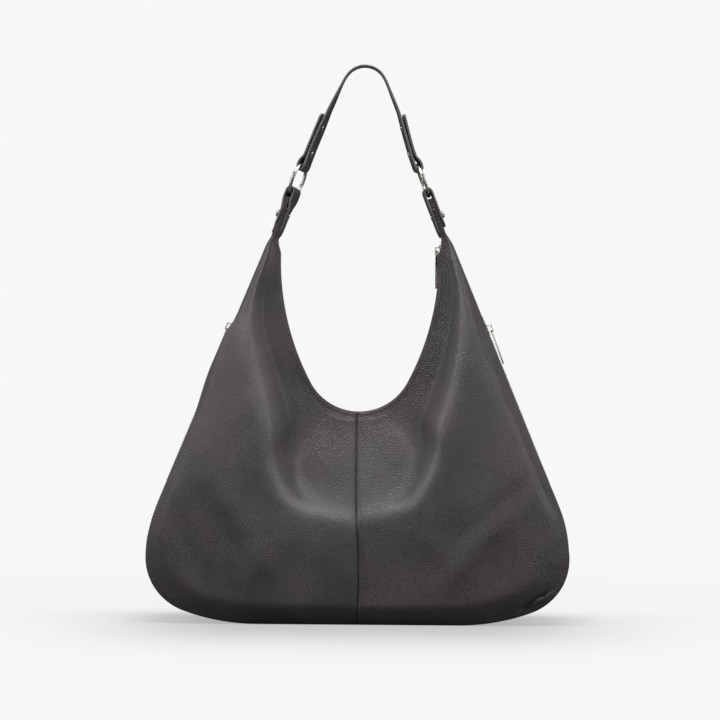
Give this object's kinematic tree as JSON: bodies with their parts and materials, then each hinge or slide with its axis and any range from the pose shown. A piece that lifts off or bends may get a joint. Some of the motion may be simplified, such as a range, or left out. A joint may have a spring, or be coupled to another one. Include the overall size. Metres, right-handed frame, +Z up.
{
  "type": "hobo bag",
  "caption": "Slouchy grained leather hobo shoulder bag with a zipped U-shaped mouth, gusset zip pockets and an arched strap on metal rings.",
  "frame": {"origin": "middle of the flat base, on the surface the bag stands on", "axes": "+Z up, +X to the right seen from the front, -Y is the front"},
  "size_m": [0.4362, 0.1314, 0.5792],
  "materials": {
    "leather": "soft pebble-grained, low sheen",
    "strap_leather": "pebble-grained with painted edges",
    "base_leather": "pebble-grained",
    "facing": "smooth dark brown",
    "core": "plain split leather",
    "lining": "twill weave",
    "zip_tape": "woven tape",
    "board": "matt",
    "zip_metal": "polished nickel",
    "pulls": "polished nickel",
    "rings": "polished nickel",
    "rivets": "polished nickel"
  },
  "bodies": {
    "bag": {"back_panel_left": "leather", "back_panel_right": "leather", "base_board": "board", "base_panel": "base_leather", "front_panel_left": "leather", "front_panel_right": "leather", "lining_back": "lining", "lining_front": "lining", "lining_gusset": "lining", "mouth_facing_back": "facing", "mouth_facing_front": "facing", "side_gusset_left": "leather", "side_gusset_right": "leather", "side_pocket_left": "lining", "side_pocket_right": "lining", "side_zip_stops_left": "zip_metal", "side_zip_stops_right": "zip_metal", "side_zip_tape_back_left": "zip_tape", "side_zip_tape_back_right": "zip_tape", "side_zip_tape_front_left": "zip_tape", "side_zip_tape_front_right": "zip_tape", "side_zip_teeth_back_left": "zip_metal", "side_zip_teeth_back_right": "zip_metal", "side_zip_teeth_front_left": "zip_metal", "side_zip_teeth_front_right": "zip_metal", "tab_core_left": "core", "tab_core_right": "core", "tab_left": "strap_leather", "tab_right": "strap_leather", "tab_screw_barrel_left": "rivets", "tab_screw_barrel_right": "rivets", "tab_screw_stud_left": "rivets", "tab_screw_stud_right": "rivets", "top_zip_stops": "zip_metal", "top_zip_tape_back": "zip_tape", "top_zip_tape_front": "zip_tape", "top_zip_teeth_back": "zip_metal", "top_zip_teeth_front": "zip_metal"},
    "strap": {"strap": "strap_leather", "strap_end_left": "strap_leather", "strap_end_right": "strap_leather", "strap_rivet_caps_left": "rivets", "strap_rivet_caps_right": "rivets", "strap_rivets_left": "rivets", "strap_rivets_right": "rivets"},
    "ring_left": {"ring_left": "rings"},
    "ring_right": {"ring_right": "rings"},
    "top_slider": {"top_zip_slider": "pulls"},
    "top_pull": {"top_zip_pull": "pulls"},
    "side_slider_left": {"side_zip_slider_left": "pulls"},
    "side_slider_right": {"side_zip_slider_right": "pulls"},
    "side_pull_left": {"side_zip_pull_left": "pulls"},
    "side_pull_right": {"side_zip_pull_right": "pulls"}
  },
  "joints": [
    {"name": "strap_swing", "type": "hinge", "parent": "bag", "child": "strap", "pos_m": [0, 0, 0.4585], "axis": [1, 0, 0], "range_deg": [-75, 75], "deforming": ["tab_left", "tab_right", "strap_end_left", "strap_end_right"]},
    {"name": "ring_left_twist", "type": "hinge", "parent": "bag", "child": "ring_left", "pos_m": [-0.065, 0, 0.4585], "axis": [0.3584, 0, 0.9336], "range_deg": [-15.5, 15.5], "deforming": ["tab_left", "strap_end_left"]},
    {"name": "ring_right_twist", "type": "hinge", "parent": "bag", "child": "ring_right", "pos_m": [0.065, 0, 0.4585], "axis": [-0.3584, 0, 0.9336], "range_deg": [-15.5, 15.5], "deforming": ["tab_right", "strap_end_right"]},
    {"name": "top_slider_travel", "type": "hinge", "parent": "bag", "child": "top_slider", "pos_m": [-0.1875, 0, 0.375], "axis": [0, 1, 0], "range_deg": [0, 23], "deforming": ["top_zip_teeth_front", "top_zip_teeth_back"]},
    {"name": "top_pull_hinge", "type": "hinge", "parent": "top_slider", "child": "top_pull", "pos_m": [0.08053, 0, 0.38533], "axis": [0, 1, 0], "range_deg": [-1.5, 105]},
    {"name": "side_slider_left_travel", "type": "slide", "parent": "bag", "child": "side_slider_left", "axis": [-0.3806, 0, -0.9247], "range_m": [0, 0.148], "deforming": ["side_zip_teeth_front_left", "side_zip_teeth_back_left"]},
    {"name": "side_pull_left_hinge", "type": "hinge", "parent": "side_slider_left", "child": "side_pull_left", "pos_m": [-0.13656, 0, 0.30539], "axis": [0, 1, 0], "range_deg": [0, 150]},
    {"name": "side_slider_right_travel", "type": "slide", "parent": "bag", "child": "side_slider_right", "axis": [0.3806, 0, -0.9247], "range_m": [0, 0.148], "deforming": ["side_zip_teeth_front_right", "side_zip_teeth_back_right"]},
    {"name": "side_pull_right_hinge", "type": "hinge", "parent": "side_slider_right", "child": "side_pull_right", "pos_m": [0.13656, 0, 0.30539], "axis": [0, -1, 0], "range_deg": [0, 150]}
  ],
  "couplings": [
    {"joint": "ring_left_twist", "follows": "strap_swing", "ratio": 0.2},
    {"joint": "ring_right_twist", "follows": "strap_swing", "ratio": -0.2}
  ]
}
